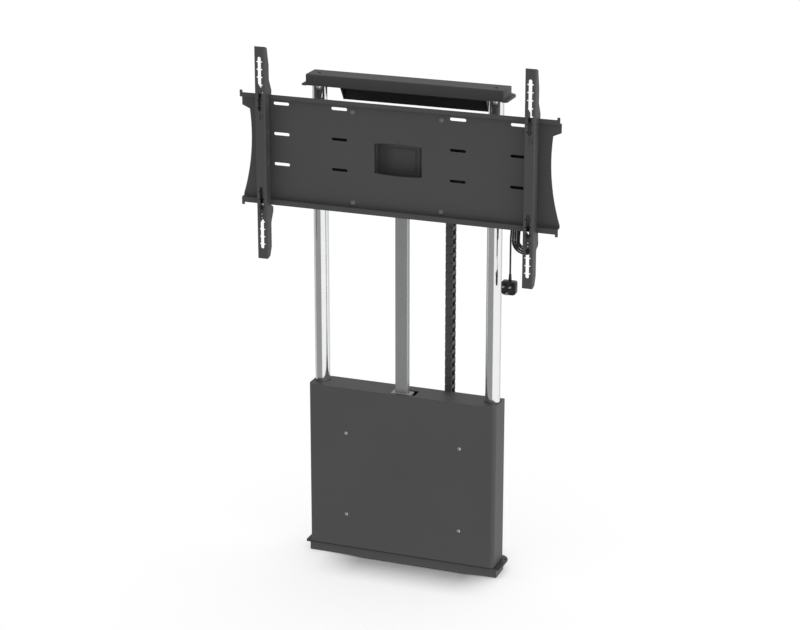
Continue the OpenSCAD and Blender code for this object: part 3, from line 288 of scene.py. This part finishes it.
# Mains plug
# A moulded three-pin plug in black PVC: a body with cut corners, a raised pin face and a grip,
# plated pins with black sleeves on the two line pins, and a ribbed relief on the lead.
relief_low, relief_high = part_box("plug_relief")
relief_middle = (relief_low + relief_high) / 2
relief_radius = 0.0054
relief_tip_radius = 0.0043
relief_foot = 0.0015
relief_ribs = 7
rib_ledge = 0.0001
groove = 0.92
groove_share = 0.35


def select_alone(piece):
    """Selects one piece, makes it active and leaves edit mode."""
    if bpy.context.mode != "OBJECT":
        bpy.ops.object.mode_set(mode="OBJECT")
    bpy.ops.object.select_all(action="DESELECT")
    piece.select_set(True)
    bpy.context.view_layer.objects.active = piece


def clear_picks(piece, kind):
    """Selects a piece alone, with nothing selected in its mesh, ready to pick faces or edges."""
    select_alone(piece)
    bpy.ops.object.mode_set(mode="EDIT")
    bpy.ops.mesh.select_mode(type=kind)
    bpy.ops.mesh.select_all(action="DESELECT")
    bpy.ops.object.mode_set(mode="OBJECT")


def pick_faces(piece, test):
    """Selects the faces that pass the test on their normal, and opens edit mode."""
    clear_picks(piece, "FACE")
    for face in piece.data.polygons:
        face.select = test(face.normal)
    bpy.ops.object.mode_set(mode="EDIT")


def round_edges(piece, test, radius, steps):
    """Rounds the edges whose two ends pass the test."""
    clear_picks(piece, "EDGE")
    for edge in piece.data.edges:
        a, b = (piece.data.vertices[i].co for i in edge.vertices)
        edge.select = test(a, b)
    bpy.ops.object.mode_set(mode="EDIT")
    bpy.ops.mesh.bevel(offset=radius, segments=steps, affect="EDGES")
    bpy.ops.object.mode_set(mode="OBJECT")


def block(low, high):
    """A plain block between two corners, to be shaped further."""
    low, high = Vector(low), Vector(high)
    bpy.ops.object.select_all(action="DESELECT")
    bpy.ops.mesh.primitive_cube_add(size=1.0, location=(low + high) / 2)
    piece = bpy.context.object
    piece.scale = high - low
    bpy.ops.object.transform_apply(location=True, rotation=True, scale=True)
    return piece


def pull_up(height):
    """Extrudes the picked faces upwards."""
    bpy.ops.mesh.extrude_region_move(TRANSFORM_OT_translate={"value": (0, 0, height)})


def apply_modifiers(piece):
    select_alone(piece)
    for modifier in list(piece.modifiers):
        bpy.ops.object.modifier_apply(modifier=modifier.name)


def soften(piece, width, steps):
    """Rounds every sharp edge of a piece a little."""
    bevel = piece.modifiers.new("soft_edges", "BEVEL")
    bevel.width = width
    bevel.segments = steps
    bevel.limit_method = "ANGLE"
    apply_modifiers(piece)


def settle(piece, name, angle=35.0):
    """Names a finished piece, puts its place in its mesh and smooths its round faces."""
    select_alone(piece)
    piece.name = name
    piece.data.name = name
    bpy.ops.object.transform_apply(location=True, rotation=True, scale=True)
    bpy.ops.object.shade_smooth_by_angle(angle=math.radians(angle))


bpy.ops.object.select_all(action="DESELECT")
bpy.ops.mesh.primitive_cylinder_add(
    vertices=32, radius=relief_radius, depth=relief_foot,
    location=(relief_middle.x, relief_middle.y, relief_low.z + relief_foot / 2),
)
relief = bpy.context.object
pick_faces(relief, lambda normal: normal.z > 0.9)
rise = (relief_high.z - relief_low.z - relief_foot) / relief_ribs
taper = (relief_tip_radius / relief_radius) ** (1 / relief_ribs)
for rib in range(relief_ribs):
    pull_up(rib_ledge)
    bpy.ops.transform.resize(value=(groove, groove, 1.0))
    pull_up(rise * groove_share)
    pull_up(rib_ledge)
    bpy.ops.transform.resize(value=(taper / groove, taper / groove, 1.0))
    pull_up(rise * (1 - groove_share) - 2 * rib_ledge)
settle(relief, "moulded_relief", 50)
soften(relief, 0.0003, 2)
plug_plastic = moulded("plug_plastic", (0.016, 0.016, 0.016), 0.36, 0.0006)
relief.data.materials.append(plug_plastic)
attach(relief, "carriage")
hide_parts("plug_relief")

plug_low, plug_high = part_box("plug_body")
plug_trim = 0.003
plug_low.z += plug_trim
plug_size = plug_high - plug_low
plug_middle = (plug_high + plug_low) / 2
lower_corner = 0.009
upper_corner = 0.0055
pin_face_rim = 0.0022
pin_face_step = 0.0006
pin_face_rise = 0.0012
grip_rim = 0.0016
grip_share = 0.9
tolerance = 0.0001


def through_plug(test):
    """A test that an edge runs from front to back and its height passes another test."""
    return lambda a, b: abs(a.y - b.y) > 0.5 * plug_size.y and test(a.z)


plug = block(plug_low, plug_high)
round_edges(plug, through_plug(lambda height: height < plug_middle.z), lower_corner, 2)
round_edges(plug, through_plug(lambda height: height > plug_high.z - tolerance), upper_corner, 2)
pick_faces(plug, lambda normal: normal.y < -0.9)
bpy.ops.mesh.inset(thickness=pin_face_rim, depth=0.0)
bpy.ops.mesh.inset(thickness=pin_face_step, depth=pin_face_rise)
pick_faces(plug, lambda normal: normal.y > 0.9)
bpy.ops.mesh.inset(thickness=grip_rim, depth=0.0)
bpy.ops.mesh.extrude_region_move(TRANSFORM_OT_translate={"value": (0, 0, 0)})
bpy.ops.transform.resize(value=(grip_share, 1.0, grip_share))
settle(plug, "moulded_plug")
for vertex in plug.data.vertices:
    vertex.co.y = max(vertex.co.y, plug_low.y)
soften(plug, 0.0008, 3)
plug.data.materials.append(plug_plastic)
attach(plug, "carriage")
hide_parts("plug_body")

pin_low, pin_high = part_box("plug_pins")
pin_colour = (0.8, 0.79, 0.75)
sleeve_colour = (0.012, 0.012, 0.012)
sleeve_length = 0.0105
earth_pin_room = 0.012
pin_metal = Finish("pin_metal", pin_colour)
near_body = pin_metal.along(1) > pin_high.y - sleeve_length
line_pin = pin_metal.along(2) > pin_low.z + earth_pin_room
sleeved = near_body * line_pin
pin_metal.vary_colour(sleeved, pin_colour, sleeve_colour)
pin_metal.vary("Metallic", 1 - sleeved)
pin_metal.vary("Roughness", 0.3 + pin_metal.noise(0.002) * 0.1 + sleeved * 0.1)
set_finish(pin_metal.material, "plug_pins")


# Base and top channels
# Both are the same folded steel channel in charcoal powder coat, the lower one open upwards and
# the upper one turned over; the upper one's coat is a darker copy, which is painted shade. Moulded
# caps close their ends: a wall with a hollow tongue that plugs into the channel, and a drilled
# fixing plate that reaches back towards the wall.
charcoal = (0.073, 0.073, 0.075)
# Painted shade: how much darker the top channel's coat is than the base channel's.
top_painted_shade = 0.76
cap_low, cap_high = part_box("base_cap_right")
stand_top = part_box("top_cap_right")[1].z
tongue_length = 0.007
tongue_thick = 0.003
tongue_lap = 0.001
tongue_below_plate = 0.001
channel_end = cap_low.x + tongue_length
channel_front = -0.045
channel_back = 0.035
channel_top = cap_high.z
channel_fit = 0.0033
top_setback = 0.010
end_wall_thick = 0.003
end_wall_round = 0.0045
plate_thick = 0.005
plate_under = channel_top - plate_thick
plate_lead = 0.006
plate_reach = 0.035
plate_inward = 0.055
plate_back_round = 0.040
plate_round = 0.008
cover_clearance = 0.0012
panel_clearance = 0.002
housing_inside = (0.2, -0.1, 0.0)
hole_radius = 0.0035
hole_out = 0.005
cutter_past = 0.01
cutter_high = 0.1


def powder_coat(name, colour, roughness=0.5):
    """Fine-textured powder coat: an orange-peel grain under a satin surface."""
    finish = Finish(name, colour, Specular_IOR_Level=0.35)
    peel = finish.noise(0.0007)
    cloud = finish.noise(0.12, 4.0)
    fleck = finish.noise(0.0018, 1.0)
    finish.vary_colour((cloud * 0.7 + fleck * 0.3).clamp(), shade(colour, 0.9), shade(colour, 1.1))
    finish.vary("Roughness", (roughness - 0.05) + cloud * 0.06 + peel * 0.06)
    finish.bump(peel, 0.00005)
    return finish.material


def plated(name, colour, roughness, line=0.00001, stretch=(1.0, 1.0, 1.0)):
    """Bare or plated metal: faint drawing lines and a little uneven gloss."""
    finish = Finish(name, colour, Metallic=1.0)
    streak = finish.noise(0.0008, 2.0, stretch)
    cloud = finish.noise(0.05, 3.0)
    finish.vary_colour(cloud, shade(colour, 0.93), shade(colour, 1.05))
    uneven = roughness * 0.25
    finish.vary("Roughness", roughness * 0.8 + cloud * uneven + streak * uneven)
    finish.bump(streak, line)
    return finish.material


def combine(piece, tool, operation):
    """Joins a closed shape to a piece, or cuts it out."""
    change = piece.modifiers.new("shape", "BOOLEAN")
    change.operation = operation
    change.solver = "EXACT"
    change.object = tool
    apply_modifiers(piece)
    bpy.data.objects.remove(tool)


def upright(test):
    """A test that an edge is upright and its place passes another test."""
    return lambda a, b: (a - b).xy.length < tolerance and test(a)


powder = powder_coat("powder", charcoal)
set_finish(powder, "base_channel", "front_cover", "cover_lid", "back_panel")
# Painted shade: the top channel gets a darker copy of the same charcoal powder coat.
set_finish(powder_coat("top_powder_painted_shade", shade(charcoal, top_painted_shade)), "top_channel")
end_cap = block(
    (channel_end - plate_inward, channel_front - plate_lead, plate_under),
    (cap_high.x, channel_back + plate_reach, channel_top),
)
round_edges(end_cap, upright(lambda at: at.x > channel_end and at.y > 0), plate_back_round, 16)
round_edges(end_cap, upright(lambda at: at.x > channel_end and at.y < 0), plate_round, 6)
inner_corner = channel_end - plate_inward + plate_round / 2
round_edges(end_cap, upright(lambda at: at.x < inner_corner and at.y > 0), plate_round, 6)
housing_room = block(
    housing_inside,
    (channel_end - end_wall_thick - cover_clearance, channel_back + panel_clearance, cutter_high),
)
combine(end_cap, housing_room, "DIFFERENCE")
end_wall = block(
    (channel_end - end_wall_thick, channel_front, 0.0), (channel_end, channel_back, channel_top),
)
round_edges(
    end_wall, lambda a, b: abs(a.x - b.x) > tolerance and max(a.z, b.z) < tolerance,
    end_wall_round, 5,
)
combine(end_cap, end_wall, "UNION")
tongue_top = plate_under - tongue_below_plate
tongue = block(
    (cap_low.x, channel_front + channel_fit, channel_fit),
    (channel_end - end_wall_thick + tongue_lap, channel_back - channel_fit, tongue_top),
)
hollow_from = channel_fit + tongue_thick
tongue_hollow = block(
    (cap_low.x - cutter_past, channel_front + hollow_from, hollow_from),
    (channel_end - end_wall_thick, channel_back - hollow_from, cutter_high),
)
combine(tongue, tongue_hollow, "DIFFERENCE")
combine(end_cap, tongue, "UNION")
for hole_y in (channel_front, channel_back):
    bpy.ops.object.select_all(action="DESELECT")
    bpy.ops.mesh.primitive_cylinder_add(
        vertices=32, radius=hole_radius, depth=cutter_high,
        location=(channel_end + hole_out, hole_y, channel_top),
    )
    combine(end_cap, bpy.context.object, "DIFFERENCE")
soften(end_cap, 0.0006, 2)
cap_plastic = moulded("cap_plastic", (0.05, 0.05, 0.052), 0.5, 0.0008)
end_cap.data.materials.append(cap_plastic)
for node, side, at_top in (
    ("base_cap_right", 1, 0), ("base_cap_left", -1, 0),
    ("top_cap_left", -1, 1), ("top_cap_right", 1, 1),
):
    cap = end_cap.copy()
    cap.data = end_cap.data.copy()
    bpy.context.scene.collection.objects.link(cap)
    cap.scale = (side, 1.0, 1.0 - 2.0 * at_top)
    cap.location = (0.0, top_setback * at_top, stand_top * at_top)
    settle(cap, node.replace("cap", "end_cap"))
    bpy.ops.object.mode_set(mode="EDIT")
    bpy.ops.mesh.select_all(action="SELECT")
    bpy.ops.mesh.normals_make_consistent(inside=False)
    bpy.ops.object.mode_set(mode="OBJECT")
    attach(cap, "stand")
    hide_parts(node)
bpy.data.objects.remove(end_cap)
zinc_steel = plated("zinc_steel", (0.6, 0.6, 0.6), 0.32)
set_finish(zinc_steel, "base_screws", "tube_plugs")
black_screw = plated("black_screw", (0.06, 0.06, 0.062), 0.4)
set_finish(black_screw, "top_screws", "wall_bracket_screws")


# Guide tubes
# Chromed steel tubes, drawn and polished, that carry the top channel and guide the carriage.
drawn_upwards = (1.0, 1.0, 0.02)
chrome = plated("chrome_tube", (0.86, 0.87, 0.87), 0.13, 0.000004, drawn_upwards)
set_finish(chrome, "guide_tube_left", "guide_tube_right")


# Wall bracket
# A folded tray with two gussets, in black, screwed to the back of the top channel.
frame_black = powder_coat("frame_black", (0.036, 0.036, 0.037))
set_finish(frame_black, "wall_bracket")


# Drive housing
# A folded cover with a welded lid over two plated C-rails, with the drive, the controller and the
# fixed outer profile of the column inside, and a flat back panel. A thin black strip round the
# cover's foot is painted shade: it stands in for the shadow in the seam between the cover and the
# base channel.
cover_low, cover_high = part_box("front_cover")
cover_round = 0.015
strip_proud = 0.0003
strip_high = 0.0035
strip_thick = 0.003
set_finish(
    zinc_steel, "cover_screws", "cover_rail_left", "cover_rail_right", "cover_standoffs",
    "panel_screws", "chain_anchor",
)
set_finish(moulded("case_plastic", (0.02, 0.02, 0.022), 0.5), "control_box")
set_finish(powder_coat("motor_paint", (0.03, 0.03, 0.032), 0.4), "drive_motor")
set_finish(powder_coat("gear_alloy", (0.04, 0.04, 0.042), 0.45), "gear_case")
# Painted shade: a thin black strip round the cover's foot, for the shadow in its seam with the
# base channel.
foot_shade_strip = block(
    (cover_low.x - strip_proud, cover_low.y - strip_proud, channel_top),
    (cover_high.x + strip_proud, cover_high.y, channel_top + strip_high),
)
round_edges(foot_shade_strip, upright(lambda at: at.y < 0), cover_round + strip_proud, 10)
foot_core = block(
    (cover_low.x + strip_thick, cover_low.y + strip_thick, 0.0),
    (cover_high.x - strip_thick, cover_high.y + cutter_past, cutter_high),
)
round_edges(foot_core, upright(lambda at: at.y < 0), cover_round - strip_thick, 10)
combine(foot_shade_strip, foot_core, "DIFFERENCE")
settle(foot_shade_strip, "cover_foot_strip")
foot_shade_strip.data.materials.append(moulded("seam_painted_shade", (0.022, 0.022, 0.022), 0.6, 0.0008))
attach(foot_shade_strip, "stand")


# Lift column
# Extruded aluminium profiles in natural anodised finish: the outer one stands in the housing and
# the inner one pushes the carriage. A light plastic guide closes the outer one.
anodised = plated("anodised", (0.55, 0.56, 0.56), 0.42, 0.00001, drawn_upwards)
set_finish(anodised, "outer_profile", "lift_profile")
set_finish(moulded("guide_plastic", (0.36, 0.36, 0.35), 0.45), "column_guide")
set_finish(zinc_steel, "lift_head")


# Energy chain
# Black moulded links that lap one another, from the shelf on the lower beam down behind the
# housing, round a bend and up to the anchor.
chain_plastic = moulded("chain_plastic", (0.056, 0.056, 0.057), 0.55, 0.0006)
set_finish(chain_plastic, "chain_run", "chain_tail")
set_finish(zinc_steel, "chain_shelf")


# Carriage
# The slotted carrier plate is bolted to a hat-shaped spine. Two box beams tie the spine to the
# bearing blocks, which run on the tubes in plastic bushes.
plate_powder = powder_coat("plate_powder", (0.066, 0.066, 0.068))
set_finish(plate_powder, "carrier_plate", "bracket_left", "bracket_right")
# Painted light: the spine's coat is a lighter copy of the plate's powder coat, lifting the shade
# in the recess behind the plate's window.
set_finish(powder_coat("spine_powder_painted_light", (0.083, 0.083, 0.085)), "carriage_spine", "spine_doubler")
set_finish(frame_black, "cross_beam_lower", "cross_beam_upper", "lead_hanger")
# Partly painted highlight: the bolt heads are a lighter grey than the plate, which stands in for
# the light their domes catch.
set_finish(powder_coat("bolt_paint_painted_highlight", (0.14, 0.14, 0.142), 0.4), "plate_bolts")
block_alloy = plated("block_alloy", (0.06, 0.06, 0.062), 0.5)
set_finish(block_alloy, "bearing_block_left", "bearing_block_right")
set_finish(moulded("bush_plastic", (0.02, 0.02, 0.02), 0.4), "guide_bushes")
set_finish(zinc_steel, "hanger_screws")


# Display brackets
# Folded steel channels whose claws hang on the plate's rails. A clip on a bright pin and a black
# cap screw lock each one to the lower rail.
set_finish(powder_coat("clip_powder", (0.05, 0.05, 0.052)), "lock_clip_left", "lock_clip_right")
set_finish(plated("bright_screw", (0.92, 0.92, 0.92), 0.5), "clip_pins_left", "clip_pins_right")
set_finish(black_screw, "lock_screw_left", "lock_screw_right")


# Floor and light
# A plain pale floor in an evenly lit white room, with a soft shadow under the stand that is partly
# cast and partly painted: an occlusion test mixes the glowing floor towards black, darkest under
# the middle of the base. The room is darker in front on the left, so polished tubes show a grey
# band there.
floor_size = 30.0
floor_drop = 0.0005
floor_colour = (0.527, 0.527, 0.527)
floor_glow = 0.616
shadow_reach = 0.18
shadow_depth = 1.4
shadow_middle = 0.04
shadow_middle_gain = 2.2
shadow_fall = 6.5
shadow_least = 0.1
bpy.ops.object.select_all(action="DESELECT")
bpy.ops.mesh.primitive_plane_add(size=floor_size, location=(0, 0, -floor_drop))
floor = bpy.context.object
floor.name = "floor"
floor_finish = Finish("floor_white", floor_colour, Roughness=0.9, Specular_IOR_Level=0.1)
matt = floor_finish.shader.outputs[0]
glow = floor_finish.node("ShaderNodeEmission", inputs={"Strength": floor_glow})
lit = floor_finish.node("ShaderNodeAddShader", inputs={0: matt, 1: glow})
# Painted shadow: where the occlusion test finds the stand close, the floor is mixed towards black,
# most near the middle of the base and fading to either side.
covered = 1 - floor_finish.node(
    "ShaderNodeAmbientOcclusion", {"samples": 16}, {"Distance": shadow_reach}, "AO",
)
off_middle = abs(floor_finish.along(0) - shadow_middle)
fading = (shadow_middle_gain - off_middle * shadow_fall).clamp(shadow_least, 1.0)
shadow = (covered * fading * shadow_depth).clamp()
dark = floor_finish.node("ShaderNodeEmission", inputs={"Strength": 0.0})
shaded = floor_finish.node("ShaderNodeMixShader", inputs={0: shadow, 1: lit, 2: dark})
camera_ray = floor_finish.node("ShaderNodeLightPath", output="Is Camera Ray")
clear = floor_finish.node("ShaderNodeBsdfTransparent")
surface = floor_finish.node("ShaderNodeMixShader", inputs={0: camera_ray, 1: clear, 2: shaded})
floor_output = floor_finish.tree.nodes["Material Output"]
floor_finish.tree.links.new(surface.socket, floor_output.inputs["Surface"])
floor.data.materials.append(floor_finish.material)

room = bpy.data.worlds.new("room")
bpy.context.scene.world = room
room.use_nodes = True
room_tree = room.node_tree
background = room_tree.nodes["Background"]
background.inputs["Color"].default_value = (1.0, 1.0, 1.0, 1.0)
direction = room_tree.nodes.new("ShaderNodeTexCoord").outputs["Generated"]
rays = room_tree.nodes.new("ShaderNodeLightPath").outputs
mirrored_front = 0.31
mirrored_right_gain = 0.75
mirrored_left_gain = 0.3
mirrored_far_loss = 0.4
lit_front = 0.9
lit_side_gain = 0.25
lit_overhead_loss = 0.35


def towards(*way):
    """How far a ray of the room points a given way, from -1 to 1."""
    dot = room_tree.nodes.new("ShaderNodeVectorMath")
    dot.operation = "DOT_PRODUCT"
    room_tree.links.new(direction, dot.inputs[0])
    dot.inputs[1].default_value = way
    return Wire(room_tree, dot.outputs["Value"])


right_side = (towards(0.978, 0.208, 0.0) * 12.0 + 0.5).clamp()
far_left = (towards(-0.259, 0.966, 0.0) * 4.0).clamp()
far_right = ((towards(0.45, 0.893, 0.0) - 0.8) * 6.0).clamp()
mirrored_near = mirrored_front + right_side * mirrored_right_gain + far_left * mirrored_left_gain
mirrored_level = mirrored_near.clamp() - far_right * mirrored_far_loss
lit_side = ((towards(0.848, 0.53, 0.0) - 0.1) * 4.0).clamp()
overhead = towards(0.0, 0.0, 1.0).clamp()
lit_level = lit_front + lit_side * lit_side_gain - overhead * lit_overhead_loss
seen = Wire(room_tree, rays["Is Camera Ray"])
mirrored = Wire(room_tree, rays["Is Glossy Ray"])
level = seen + (1 - seen) * (mirrored * mirrored_level + (1 - mirrored) * lit_level)
room_tree.links.new(level.socket, background.inputs["Strength"])
bpy.context.scene.view_settings.view_transform = "Standard"
